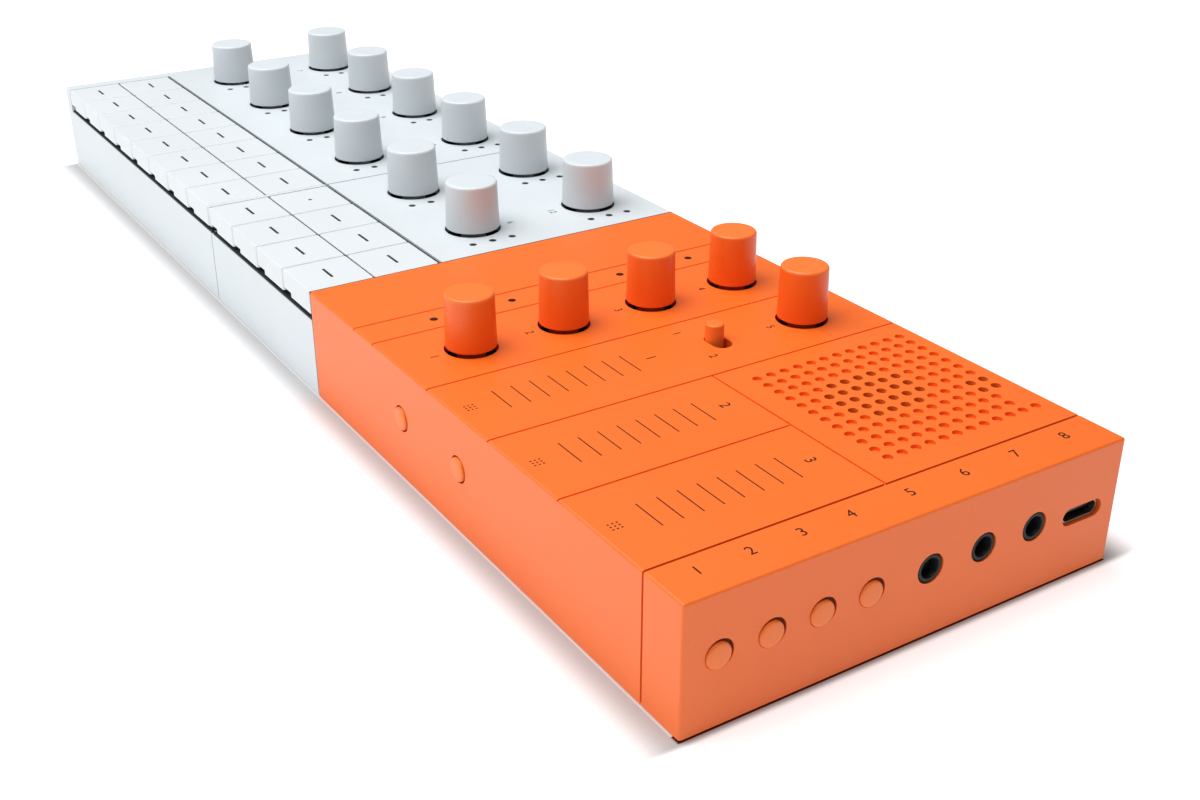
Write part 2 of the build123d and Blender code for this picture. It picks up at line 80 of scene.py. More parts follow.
class Wire:
    # A socket of a material; arithmetic on it adds Math nodes
    def __init__(self, tree, socket=None):
        self.tree = tree
        self.socket = socket

    def node(self, kind, settings=None, sockets=None, out=0):
        made = self.tree.nodes.new(kind)
        for name, value in (settings or {}).items():
            setattr(made, name, value)
        for name, value in (sockets or {}).items():
            if isinstance(value, Wire):
                self.tree.links.new(value.socket, made.inputs[name])
            else:
                made.inputs[name].default_value = value
        return Wire(self.tree, made.outputs[out] if made.outputs else None)

    def maths(self, operation, first, second):
        return self.node("ShaderNodeMath", {"operation": operation}, {0: first, 1: second})

    def __add__(self, other):
        return self.maths("ADD", self, other)

    def __radd__(self, other):
        return self.maths("ADD", other, self)

    def __sub__(self, other):
        return self.maths("SUBTRACT", self, other)

    def __rsub__(self, other):
        return self.maths("SUBTRACT", other, self)

    def __mul__(self, other):
        return self.maths("MULTIPLY", self, other)

    def __rmul__(self, other):
        return self.maths("MULTIPLY", other, self)

    def mixed(self, first, second):
        return self.node("ShaderNodeMix", {"data_type": "RGBA"}, {0: self, 6: first, 7: second}, out=2)


def newMaterial(name):
    made = bpy.data.materials.new(name)
    made.use_nodes = True
    made.node_tree.nodes.clear()
    return made, Wire(made.node_tree)


def rgba(colour):
    return (*colour, 1.0)


studio = {
    "skyStrength": 0.21,
    "boxPlace": (-0.10, -0.27, 0.95),
    "boxAim": (-0.02, 0.0, 0.0),
    "boxSize": 1.0,
    "boxPower": 14.4,
    "floorSize": 12.0,
    "floorColour": (0.70, 0.70, 0.705),
    "floorLift": 0.5,
    "floorGlow": 0.52,     # light from the floor on to the object's sides
    "frontShadowLine": (0.60, 0.56, 0.56),     # painted shadow line where the case stands over the floor
    "endShadowLine": (0.10, 0.03, 0.02),
    "endBand": 0.002,
    "lineGlow": 0.16,
    "lineWidth": 0.0003,
    "shadeNear": 0.0005,   # how far from the case the floor's lift begins and is whole; the floor's painted shade fades over the same span
    "shadeFar": 0.011,
    # painted shade: share of the floor's colour kept right next to the case
    "shadeDepth": 0.66,
    "endHaste": 6.0,       # the shade is as much narrower past the ends
}


def lightStudio():
    sky = bpy.data.worlds.new("softSky")
    sky.use_nodes = True
    sky.node_tree.nodes.clear()
    wire = Wire(sky.node_tree)
    glow = wire.node("ShaderNodeBackground", None,
                     {"Color": (1.0, 1.0, 1.0, 1.0), "Strength": studio["skyStrength"]})
    wire.node("ShaderNodeOutputWorld", None, {"Surface": glow})
    bpy.context.scene.world = sky

    place = Vector(studio["boxPlace"])
    bpy.ops.object.light_add(type="AREA", location=place)
    box = bpy.context.object
    box.name = "softBox"
    box.rotation_euler = (Vector(studio["boxAim"]) - place).to_track_quat("-Z", "Y").to_euler()
    box.data.shape = "SQUARE"
    box.data.size = studio["boxSize"]
    box.data.energy = studio["boxPower"]

    bpy.ops.mesh.primitive_plane_add(size=studio["floorSize"])
    floor = bpy.context.object
    floor.name = "paleFloor"
    paper, wire = newMaterial("palePaper")
    coords = wire.node("ShaderNodeTexCoord", out="Object")
    mottle = wire.node("ShaderNodeTexNoise", None, {"Vector": coords, "Scale": 3.0, "Detail": 2.0})
    seen = wire.node("ShaderNodeLightPath", out="Is Camera Ray")
    shiny = wire.node("ShaderNodeLightPath", out="Is Glossy Ray")
    through = wire.node("ShaderNodeLightPath", out="Is Transmission Ray")
    along = wire.node("ShaderNodeSeparateXYZ", None, {"Vector": coords}, out="X")
    across = wire.node("ShaderNodeSeparateXYZ", None, {"Vector": coords}, out="Y")
    end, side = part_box("orange_end_cap")[1].xy
    pastEnd = wire.maths("MAXIMUM", wire.maths("ABSOLUTE", along, 0.0) - end, 0.0) * studio["endHaste"]
    pastSide = wire.maths("MAXIMUM", wire.maths("ABSOLUTE", across, 0.0) - side, 0.0)
    away = wire.maths("SQRT", pastEnd * pastEnd + pastSide * pastSide, 0.0)
    clear = wire.node("ShaderNodeMapRange", {"interpolation_type": "SMOOTHSTEP"},
                      {"Value": away, "From Min": studio["shadeNear"], "From Max": studio["shadeFar"]})
    tone = mottle.mixed(rgba(studio["floorColour"]), rgba([c * 0.99 for c in studio["floorColour"]]))
    # painted shade on the floor, darkest next to the case
    paintedFloorShade = clear.mixed(rgba([c * studio["shadeDepth"] for c in studio["floorColour"]]), tone)
    outside = wire.node("ShaderNodeMapRange", None, {"Value": away, "From Max": studio["lineWidth"]})
    nearEnd = wire.maths("GREATER_THAN", along, end - studio["endBand"])
    # painted shadow line under the case's edges, dark red near the end
    line = nearEnd.mixed(rgba(studio["frontShadowLine"]), rgba(studio["endShadowLine"]))
    matt = wire.node("ShaderNodeBsdfDiffuse", None, {"Color": outside.mixed(line, paintedFloorShade)})
    direct = seen + shiny + through
    lineLift = (1 - outside) * (1 - nearEnd) * studio["lineGlow"]
    lift = direct * (clear * studio["floorLift"] + lineLift) + (1 - direct) * studio["floorGlow"]
    glow = wire.node("ShaderNodeEmission", None, {"Color": (1.0, 1.0, 1.0, 1.0), "Strength": lift})
    both = wire.node("ShaderNodeAddShader", None, {0: matt, 1: glow})
    wire.node("ShaderNodeOutputMaterial", None, {"Surface": both})
    floor.data.materials.append(paper)


placeCamera()
lightStudio()
bpy.context.scene.view_settings.view_transform = "Standard"
print("camera, light and floor set")


# Finishes

plastics = {
    "whiteShell": {"colour": (0.665, 0.715, 0.745), "rough": 0.46, "grain": 0.10},
    "orangeShell": {"colour": (0.93, 0.160, 0.014), "rough": 0.44, "grain": 0.10},
    "whiteKey": {"colour": (0.70, 0.74, 0.765), "rough": 0.42, "grain": 0.06},
    # the knobs' crown colours are painted highlight: paler tops, as lit from above
    "whiteKnob": {"colour": (0.625, 0.665, 0.69), "rough": 0.40, "grain": 0.06,
                  "paintedLitCrown": {"node": "white_knob_01", "colour": (0.69, 0.75, 0.785)}},
    "orangeKnob": {"colour": (0.94, 0.150, 0.010), "rough": 0.40, "grain": 0.06,
                   "paintedLitCrown": {"node": "orange_knob_1", "colour": (0.96, 0.195, 0.026)}},
    "orangeButton": {"colour": (0.96, 0.19, 0.022), "rough": 0.42, "grain": 0.06},
    "baseGrey": {"colour": (0.60, 0.62, 0.635), "rough": 0.50, "grain": 0.16},
    "blackPlastic": {"colour": (0.014, 0.014, 0.016), "rough": 0.38, "grain": 0.08},
    "jackPlastic": {"colour": (0.009, 0.009, 0.010), "rough": 0.5, "grain": 0.08, "shine": 0.25},
    "batteryWrap": {"colour": (0.10, 0.11, 0.14), "rough": 0.30, "grain": 0.03},
    "darkLens": {"colour": (0.022, 0.022, 0.026), "rough": 0.35, "grain": 0.0, "shine": 0.3},
    "warmLens": {"colour": (0.055, 0.006, 0.003), "rough": 0.45, "grain": 0.0, "shine": 0.15},
    "brownInk": {"colour": (0.040, 0.009, 0.003), "rough": 0.75, "grain": 0.02, "shine": 0.2},
    "greyInk": {"colour": (0.09, 0.095, 0.105), "rough": 0.75, "grain": 0.02, "shine": 0.2},
    "slotShade": {"colour": (0.12, 0.013, 0.003), "rough": 0.7, "grain": 0.05, "shine": 0.15},
    "paintedGapShade": {"colour": (0.022, 0.023, 0.025), "rough": 0.75, "grain": 0.10, "shine": 0.3},
    "footRubber": {"colour": (0.055, 0.055, 0.058), "rough": 0.80, "grain": 0.30},
}
mould = {
    "cloudScale": 28.0,    # slow drift of the tone over the shell
    "cloudDepth": 0.035,
    "fleckScale": 1900.0,  # pigment specks
    "fleckDepth": 0.05,
    "grainScale": 3600.0,  # spark-eroded tool texture
    "grainHeight": 0.00006,
    "roughSwing": 0.10,
    "paintedLitCrownBand": (0.0009, 0.0003),    # below a knob's top, where its painted highlight, a paler crown, begins and is whole
}


def shade(colour, factor):
    return rgba([min(1.0, c * factor) for c in colour])


def mouldedPlastic(name, look):
    made, wire = newMaterial(name)
    coords = wire.node("ShaderNodeTexCoord", out="Object")
    cloud = wire.node("ShaderNodeTexNoise", None,
                      {"Vector": coords, "Scale": mould["cloudScale"], "Detail": 3.0})
    fleck = wire.node("ShaderNodeTexNoise", None,
                      {"Vector": coords, "Scale": mould["fleckScale"], "Detail": 2.0})
    grain = wire.node("ShaderNodeTexNoise", None,
                      {"Vector": coords, "Scale": mould["grainScale"], "Detail": 4.0, "Roughness": 0.65})
    tone = cloud * 0.6 + fleck * 0.4
    swing = mould["cloudDepth"] + mould["fleckDepth"]
    colour = tone.mixed(shade(look["colour"], 1 - swing), shade(look["colour"], 1 + swing))
    # painted highlight: the knob's top is blended to a paler colour
    if "paintedLitCrown" in look:
        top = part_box(look["paintedLitCrown"]["node"])[1].z
        low, high = mould["paintedLitCrownBand"]
        height = wire.node("ShaderNodeSeparateXYZ", None, {"Vector": coords}, out="Z")
        paintedLitCrown = wire.node("ShaderNodeMapRange", None,
                          {"Value": height, "From Min": top - low, "From Max": top - high})
        colour = paintedLitCrown.mixed(colour, rgba(look["paintedLitCrown"]["colour"]))
    rough = look["rough"] + (grain - 0.5) * mould["roughSwing"] + (cloud - 0.5) * mould["roughSwing"]
    relief = wire.node("ShaderNodeBump", None,
                       {"Strength": look["grain"], "Distance": mould["grainHeight"], "Height": grain})
    skin = wire.node("ShaderNodeBsdfPrincipled", None,
                     {"Base Color": colour, "Roughness": rough, "IOR": 1.5, "Normal": relief,
                      "Specular IOR Level": look.get("shine", 0.5)})
    wire.node("ShaderNodeOutputMaterial", None, {"Surface": skin})
    return made


metals = {
    "screwSteel": {"colour": (0.52, 0.52, 0.54), "rough": 0.30, "streak": (300.0, 300.0, 4000.0)},
    "speakerMetal": {"colour": (0.07, 0.07, 0.075), "rough": 0.42, "streak": (900.0, 900.0, 900.0)},
    "socketSteel": {"colour": (0.38, 0.37, 0.37), "rough": 0.34, "streak": (300.0, 3000.0, 3000.0)},
}


def workedMetal(name, look):
    made, wire = newMaterial(name)
    coords = wire.node("ShaderNodeTexCoord", out="Object")
    drawn = wire.node("ShaderNodeMapping", None, {"Vector": coords, "Scale": look["streak"]})
    streak = wire.node("ShaderNodeTexNoise", None, {"Vector": drawn, "Scale": 1.0, "Detail": 3.0})
    colour = streak.mixed(shade(look["colour"], 0.85), shade(look["colour"], 1.1))
    rough = look["rough"] + (streak - 0.5) * 0.2
    skin = wire.node("ShaderNodeBsdfPrincipled", None,
                     {"Base Color": colour, "Roughness": rough, "Metallic": 1.0})
    wire.node("ShaderNodeOutputMaterial", None, {"Surface": skin})
    return made


board = {"mask": (0.012, 0.075, 0.035), "track": (0.03, 0.15, 0.06), "pitch": 620.0, "rough": 0.35}


def solderMask(name):
    made, wire = newMaterial(name)
    coords = wire.node("ShaderNodeTexCoord", out="Object")
    cells = wire.node("ShaderNodeTexVoronoi", {"distance": "MANHATTAN"},
                      {"Vector": coords, "Scale": board["pitch"] * 0.3})
    lines = wire.node("ShaderNodeTexWave", {"wave_type": "BANDS", "bands_direction": "Y"},
                      {"Vector": coords, "Scale": board["pitch"] * 0.25, "Distortion": 2.0})
    track = wire.maths("GREATER_THAN", lines * 0.7 + cells * 0.3, 0.6)
    colour = track.mixed(rgba(board["mask"]), rgba(board["track"]))
    relief = wire.node("ShaderNodeBump", None, {"Strength": 0.3, "Distance": 0.00003, "Height": track})
    skin = wire.node("ShaderNodeBsdfPrincipled", None,
                     {"Base Color": colour, "Roughness": board["rough"], "Normal": relief})
    wire.node("ShaderNodeOutputMaterial", None, {"Surface": skin})
    return made


finishes = {name: mouldedPlastic(name, look) for name, look in plastics.items()}
finishes.update({name: workedMetal(name, look) for name, look in metals.items()})
finishes["boardGreen"] = solderMask("boardGreen")
slotFinish = {
    "white_shell": "whiteShell",
    "orange_shell": "orangeShell",
    "white_key": "whiteKey",
    "white_knob": "whiteKnob",
    "orange_knob": "orangeKnob",
    "orange_button": "orangeButton",
    "base_grey": "baseGrey",
    "board_green": "boardGreen",
    "black_plastic": "blackPlastic",
    "speaker_metal": "speakerMetal",
    "battery_wrap": "batteryWrap",
    "foot_rubber": "footRubber",
    "screw_steel": "screwSteel",
}


def coverWith(piece, finish):
    piece.data.materials.clear()
    piece.data.materials.append(finishes[finish])


for part in frame["record"]["subparts"]:
    coverWith(nodes[part["node"]], slotFinish[part["material_slot"]])
print("finishes on the CAD nodes:", len(finishes))


# Shop helpers

def deselect():
    bpy.ops.object.select_all(action="DESELECT")


def pickFaces(piece, wanted):
    bpy.ops.mesh.select_mode(type="FACE")
    mesh = bmesh.from_edit_mesh(piece.data)
    for face in mesh.faces:
        face.select_set(wanted(face))
    bmesh.update_edit_mesh(piece.data)


def settle(piece, name, angle=40):
    # Place into the mesh, faces outwards, smooth where the form is round
    bpy.ops.object.mode_set(mode="EDIT")
    bpy.ops.mesh.select_all(action="SELECT")
    bpy.ops.mesh.normals_make_consistent(inside=False)
    bpy.ops.object.mode_set(mode="OBJECT")
    bpy.ops.object.transform_apply(location=True, rotation=True, scale=True)
    bpy.ops.object.shade_smooth_by_angle(angle=math.radians(angle))
    piece.name = name
    piece.data.name = name
    return piece


def turned(name, axis, centre, steps, sides=72):
    # A lathe job: steps are (place along the axis, radius) in metres, from the back to the front
    deselect()
    along = {"X": Vector((1, 0, 0)), "Y": Vector((0, 1, 0)), "Z": Vector((0, 0, 1))}[axis]
    lying = {"X": (0, math.pi / 2, 0), "Y": (math.pi / 2, 0, 0), "Z": (0, 0, 0)}[axis]
    across = Vector(centre) - along * Vector(centre).dot(along)
    place, radius = steps[0]
    bpy.ops.mesh.primitive_circle_add(vertices=sides, radius=radius, fill_type="NGON",
                                      location=across + along * place, rotation=lying)
    piece = bpy.context.object
    bpy.ops.object.transform_apply(location=True, rotation=True, scale=True)
    bpy.ops.object.mode_set(mode="EDIT")
    bpy.ops.mesh.select_all(action="SELECT")
    for nextPlace, nextRadius in steps[1:]:
        bpy.ops.mesh.extrude_region_move(TRANSFORM_OT_translate={"value": along * (nextPlace - place)})
        ratio = nextRadius / radius
        squeeze = [1.0 if along[i] else ratio for i in range(3)]
        bpy.ops.transform.resize(value=squeeze, center_override=across + along * nextPlace)
        place, radius = nextPlace, nextRadius
    bpy.ops.object.mode_set(mode="OBJECT")
    return settle(piece, name)


def blockAt(centre, size):
    # Left in edit mode with all of it selected
    deselect()
    bpy.ops.mesh.primitive_cube_add(size=1, location=centre, scale=size)
    piece = bpy.context.object
    bpy.ops.object.transform_apply(location=True, rotation=True, scale=True)
    bpy.ops.object.mode_set(mode="EDIT")
    bpy.ops.mesh.select_all(action="SELECT")
    return piece


def softBlock(name, centre, size, edge, segments=2):
    piece = blockAt(centre, size)
    bpy.ops.mesh.bevel(offset=edge, segments=segments, affect="EDGES")
    bpy.ops.object.mode_set(mode="OBJECT")
    return settle(piece, name)


def rounded(place, radius, size, start, end, count=5):
    # Steps round a corner: the arc's centre is (place, radius), angles are from the axis outwards
    angles = [math.radians(start + (end - start) * i / count) for i in range(count + 1)]
    return [(place + size * math.cos(a), radius + size * math.sin(a)) for a in angles]


def copyTo(piece, name, shift):
    made = piece.copy()
    made.data = piece.data.copy()
    made.name = name
    made.data.name = name
    made.data.transform(Matrix.Translation(shift))
    bpy.context.collection.objects.link(made)
    return made


def joined(pieces, name):
    deselect()
    for piece in pieces:
        piece.select_set(True)
    bpy.context.view_layer.objects.active = pieces[0]
    if len(pieces) > 1:
        bpy.ops.object.join()
    made = bpy.context.view_layer.objects.active
    made.name = name
    made.data.name = name
    return made


def fit(piece, body, finish, node=None):
    coverWith(piece, finish)
    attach(piece, body)
    if node:
        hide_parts(node)


def middle(node):
    low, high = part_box(node)
    return (low + high) / 2


# Knobs: tapered caps with a hollow skirt, on their shafts

knobs = {
    "gap": 0.7,
    "topRound": 0.55,
    "footRound": 0.18,
    "skirtWall": 1.1,
    "skirtDepth": 1.4,
    "shaft": 3.0,
    "dish": 0.05,
    "dishRim": 0.72,     # shares of the head's radius
    "dishFloor": 0.45,
    "dishEye": 0.1,
    "white": {"foot": 6.55, "head": 6.2, "finish": "whiteKnob", "slot": "white_knob"},
    "orange": {"foot": 5.3, "head": 5.05, "finish": "orangeKnob", "slot": "orange_knob"},
}
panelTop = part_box("orange_housing")[1].z


def makeKnob(name, node, look):
    low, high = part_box(node)
    foot, head = look["foot"] * mm, look["head"] * mm
    under = panelTop + knobs["gap"] * mm
    edge, lip = knobs["topRound"] * mm, knobs["footRound"] * mm
    wall, shaft = knobs["skirtWall"] * mm, knobs["shaft"] * mm
    ceiling = under + knobs["skirtDepth"] * mm
    steps = [(low.z, shaft), (ceiling, shaft), (ceiling, foot - wall - 0.1 * mm), (under, foot - wall)]
    steps += rounded(under + lip, foot - lip, lip, 180, 90, 3)
    steps += rounded(high.z - edge, head - edge, edge, 90, 0, 6)
    sunk = high.z - knobs["dish"] * mm
    steps += [(high.z, head * knobs["dishRim"])]
    steps += [(sunk, head * knobs["dishFloor"]), (sunk, head * knobs["dishEye"])]
    return turned(name, "Z", middle(node), steps, sides=96)


def fitKnobs():
    for kind, wanted in (("white", "white_knob_"), ("orange", "orange_knob_")):
        look = knobs[kind]
        names = sorted(n for n in nodes if n.startswith(wanted))
        first = makeKnob(kind + "Knob" + names[0][len(wanted):], names[0], look)
        for name in names[1:]:
            piece = copyTo(first, kind + "Knob" + name[len(wanted):], middle(name) - middle(names[0]))
            fit(piece, name, look["finish"], name)
        fit(first, names[0], look["finish"], names[0])


fitKnobs()
print("knobs turned")


# Push buttons in the end cap and in the front side

buttons = {
    "cap": 2.45,
    "edge": 0.45,
    "dome": 0.10,
    "flange": 3.35,
    "flangeThickness": 1.0,
    "stem": 1.5,
    "stemLength": 2.0,
    "shadeRingInner": 2.5,
    "shadeRingOuter": 2.95,
    "shadeRingReach": (0.9, 0.3),    # below the wall's face
    "sag": 0.2,    # how far the caps hang low and to the player's side in their holes
}


def buttonSteps(back, face, outward):
    flangeBack = back + outward * buttons["stemLength"] * mm
    flangeFront = flangeBack + outward * buttons["flangeThickness"] * mm
    cap, edge = buttons["cap"] * mm, buttons["edge"] * mm
    stem, flange = buttons["stem"] * mm, buttons["flange"] * mm
    steps = [(back, stem), (flangeBack, stem), (flangeBack, flange)]
    steps += [(flangeFront, flange), (flangeFront, cap)]
    rim = face - outward * buttons["dome"] * mm
    corner = rounded(0, cap - edge, edge, 90, 12, 5)
    steps += [(rim - outward * (edge - place), radius) for place, radius in corner]
    return steps + [(face, cap * 0.45), (face, cap * 0.1)]


def fitButtons():
    sag = buttons["sag"] * mm
    ends = sorted(n for n in nodes if n.startswith("end_button_"))
    low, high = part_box(ends[0])
    centre = middle(ends[0]) + Vector((0, -sag, -sag))
    first = turned("endButton1", "X", centre, buttonSteps(low.x, high.x, 1))
    for i, name in enumerate(ends[1:]):
        piece = copyTo(first, "endButton" + str(i + 2), middle(name) - middle(ends[0]))
        fit(piece, name, "orangeButton", name)
    fit(first, ends[0], "orangeButton", ends[0])

    sides = sorted(n for n in nodes if n.startswith("side_button_"))
    low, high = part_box(sides[0])
    centre = middle(sides[0]) + Vector((-sag, 0, -sag / 2))
    first = turned("sideButton1", "Y", centre, buttonSteps(high.y, low.y, -1))
    second = copyTo(first, "sideButton2", middle(sides[1]) - middle(sides[0]))
    fit(second, sides[1], "orangeButton", sides[1])
    fit(first, sides[0], "orangeButton", sides[0])


def sealRing(name, axis, centre, low, high):
    inner, outer = buttons["shadeRingInner"] * mm, buttons["shadeRingOuter"] * mm
    steps = [(low, inner), (low, outer), (high, outer), (high, inner), (low, inner)]
    ring = turned(name, axis, centre, steps, sides=48)
    bpy.ops.object.mode_set(mode="EDIT")
    pickFaces(ring, lambda face: len(face.verts) > 4)
    bpy.ops.mesh.delete(type="FACE")
    bpy.ops.mesh.select_all(action="SELECT")
    bpy.ops.mesh.remove_doubles(threshold=1e-6)
    bpy.ops.object.mode_set(mode="OBJECT")
    return settle(ring, name)


def fitSeals():
    # Dark red rings in the holes, painted shade in the gaps round the caps, low enough to clear the pressed
    # caps' faces
    sag = buttons["sag"] * mm
    low, high = [place * mm for place in buttons["shadeRingReach"]]
    end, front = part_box("orange_end_cap")[1].x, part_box("orange_housing")[0].y
    rings = []
    for name in sorted(n for n in nodes if n.startswith("end_button_")):
        rings.append(sealRing("ring", "X", middle(name) + Vector((0, -sag, -sag)), end - low, end - high))
    for name in sorted(n for n in nodes if n.startswith("side_button_")):
        centre = middle(name) + Vector((-sag, 0, -sag / 2))
        rings.append(sealRing("ring", "Y", centre, front + low, front + high))
    fit(joined(rings, "buttonShadeRings"), "chassis", "slotShade")


fitButtons()
fitSeals()
print("push buttons turned")


# Mode slider: a round nub, and under the panel the plate that closes its slot, dark red as painted shade

slider = {"nub": 1.95, "edge": 0.4, "panel": 2.0, "neck": 1.0, "plate": 1.2, "plateRound": 0.3, "peg": 1.0}


def fitSlider():
    low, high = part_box("mode_slider")
    centre = middle("mode_slider")
    nub, edge = slider["nub"] * mm, slider["edge"] * mm
    plateTop = panelTop - (slider["panel"] + slider["neck"]) * mm
    steps = [(plateTop, nub)] + rounded(high.z - edge, nub - edge, edge, 90, 0, 5)
    steps += [(high.z, nub * 0.1)]
    piece = turned("modeSliderNub", "Z", centre, steps, sides=64)
    fit(piece, "mode_slider", "orangeButton", "mode_slider")

    size = Vector((high.x - low.x, high.y - low.y, slider["plate"] * mm))
    plate = blockAt((centre.x, centre.y, plateTop - size.z / 2), size)
    bpy.ops.mesh.bevel(offset=slider["plateRound"] * mm, segments=2, affect="EDGES")
    pickFaces(plate, lambda face: face.normal.z < -0.9)
    bpy.ops.mesh.inset(thickness=size.y / 2 - slider["peg"] * mm)
    bpy.ops.mesh.extrude_region_move(TRANSFORM_OT_translate={"value": (0, 0, low.z - plateTop + size.z)})
    bpy.ops.object.mode_set(mode="OBJECT")
    # the plate's dark red finish is painted shade under the slot
    fit(settle(plate, "modeSliderPlate"), "mode_slider", "slotShade")


fitSlider()
print("mode slider made")


# Lamps: bars or dots let into the keys, dots in the panels

lamps = {
    "bar": (5.54, 0.64, 0.34),
    "barRound": 0.1,
    "dot": 0.86,
    "keyDot": 0.48,
    "depth": 0.4,
    "set": 0.03,
    "dotted": "key_back_09",
    "knobReach": 10.0,
    "knobPitch": 5.3,
    "orangeX": 58.275,
    "orangeY": (-32.2, -13.35, 14.5, 33.35),
}


def lampDot(name, x, y, size="dot"):
    radius, top = lamps[size] * mm, panelTop + lamps["set"] * mm
    low = panelTop - lamps["depth"] * mm
    steps = [(low, radius), (top - 0.08 * mm, radius), (top, radius * 0.7), (top, radius * 0.1)]
    return turned(name, "Z", Vector((x, y, 0)), steps, sides=24)


def fitKeyLamps():
    keys = sorted(n for n in nodes if n.startswith("key_"))
    size = Vector(lamps["bar"]) * mm
    first = middle(keys[0])
    low = panelTop - lamps["depth"] * mm
    bar = softBlock("keyLampBar", (first.x, first.y, low + size.z / 2), size, lamps["barRound"] * mm)
    for key in keys:
        place = middle(key)
        name = "lamp_" + key
        if key == lamps["dotted"]:
            piece = lampDot(name, place.x, place.y, "keyDot")
        else:
            piece = copyTo(bar, name, Vector((place.x - first.x, place.y - first.y, 0)))
        fit(piece, key, "darkLens")
    bpy.data.objects.remove(bar)


def fitPanelLamps():
    dots = {"left_housing": [], "centre_housing": []}
    for name in sorted(n for n in nodes if n.startswith("white_knob_")):
        place = middle(name)
        home = "left_housing" if place.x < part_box("left_housing")[1].x else "centre_housing"
        for step in (-1, 0, 1):
            x, y = place.x + lamps["knobReach"] * mm, place.y + step * lamps["knobPitch"] * mm
            dots[home].append(lampDot("dot", x, y))
    for home, group in dots.items():
        fit(joined(group, "lampDots_" + home), "chassis", "darkLens")
    group = [lampDot("dot", lamps["orangeX"] * mm, y * mm) for y in lamps["orangeY"]]
    fit(joined(group, "lampDots_orange_housing"), "chassis", "warmLens")


fitKeyLamps()
fitPanelLamps()
print("lamps let in")


# Gap pieces: dark lips and pads, painted shade in the gaps round the keys, dark strips of painted shade in
# the shells' seams, and a white rib

gapPieces = {
    "runs": ((-166.3, -36.6), (-34.4, 30.0)),
    "panelLip": (-16.6, -15.95, 18.8, 25.45),    # y from, y to, z from, z to
    "rowLip": (-32.83, -32.57, 18.8, 25.6),
    "frontLip": (-48.3, -46.6, 18.8, 19.3),
    # one pad behind each front key's skirt, the first value its width
    "pad": (13.0, -46.9, -46.3, 18.9, 22.6),
    # white rib that closes the step between the key bays, and its foot set back from the front
    "rib": ((-36.2, -48.3, 20.45), (-35.0, -16.65, 25.85)),
    "ribFoot": (0, 2.2, -1.65),
    "edge": 0.05,
    "seamSet": 0.1,       # how far the seam strips lie below the shells' faces
    "seamLap": 0.2,       # and how far they lap over the shells' rounded edges
    "seamDepth": 0.8,
    "seamFoot": 2.0,
}


def matBlock(name, low, high):
    return softBlock(name, (low + high) / 2, high - low, gapPieces["edge"] * mm, 1)


def fitMat():
    # dark lips and pads: painted shade in the gaps round the keys
    pieces = []
    for x0, x1 in gapPieces["runs"]:
        for lip in ("panelLip", "rowLip", "frontLip"):
            y0, y1, z0, z1 = gapPieces[lip]
            pieces.append(matBlock("shadeLip", Vector((x0, y0, z0)) * mm, Vector((x1, y1, z1)) * mm))
    width, y0, y1, z0, z1 = gapPieces["pad"]
    keys = sorted(n for n in nodes if n.startswith("key_front_"))
    first = middle(keys[0]).x
    half = width / 2 * mm
    low, high = Vector((first - half, y0 * mm, z0 * mm)), Vector((first + half, y1 * mm, z1 * mm))
    pad = matBlock("shadePad", low, high)
    pieces.append(pad)
    pieces += [copyTo(pad, "shadePad", Vector((middle(key).x - first, 0, 0))) for key in keys[1:]]
    fit(joined(pieces, "keyGapShade"), "chassis", "paintedGapShade")

    # dark strips in the seams between the shells: painted shade
    deep, thick, foot = gapPieces["seamSet"] * mm, gapPieces["seamDepth"] * mm, gapPieces["seamFoot"] * mm
    lap = gapPieces["seamLap"] * mm
    left, centre, orange = [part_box(name) for name in ("left_housing", "centre_housing", "orange_housing")]
    front, back, top = orange[0].y + deep, orange[1].y - deep, panelTop - deep
    keyFoot = gapPieces["rib"][0][2] * mm - thick
    x0, x1 = centre[1].x - lap, orange[0].x + lap
    rise = Vector((left[1].x, front, foot)), Vector((centre[0].x, front + thick, keyFoot))
    strips = [
        matBlock("seamFront", *rise),
        matBlock("seamFront", Vector((x0, front, foot)), Vector((x1, front + thick, top))),
        matBlock("seamTop", Vector((x0, front, top - thick)), Vector((x1, back, top))),
    ]
    fit(joined(strips, "seamShadeStrips"), "chassis", "paintedGapShade")

    low, high = [Vector(corner) * mm for corner in gapPieces["rib"]]
    lowFoot = low + Vector(gapPieces["ribFoot"]) * mm
    pieces = [matBlock("ribTop", low, high)]
    pieces.append(matBlock("ribFoot", lowFoot, Vector((high.x, high.y, low.z))))
    fit(joined(pieces, "sectionRib"), "chassis", "whiteShell")


fitMat()
print("shaded mat laid")


# Sockets in the end cap: three jacks and a flat data socket

jacks = {
    "places": [m["pos_m"] for m in frame["record"]["mounts"] if m["kind"] == "bore"],
    "face": 171.35,
    "nose": 2.74,
    "bore": 1.8,
    "depth": 12.0,
    "chamfer": 0.22,
    "body": (11.0, 7.4, 7.3),
    "bodyFront": 169.4,
}
dataSocket = {
    "face": 170.8,
    "back": 163.1,
    "width": 9.0,
    "height": 3.2,
    "wall": 0.3,
    "mouthDepth": 5.6,
    "tongue": (4.6, 6.7, 0.7),
    "tongueRound": 0.12,
}


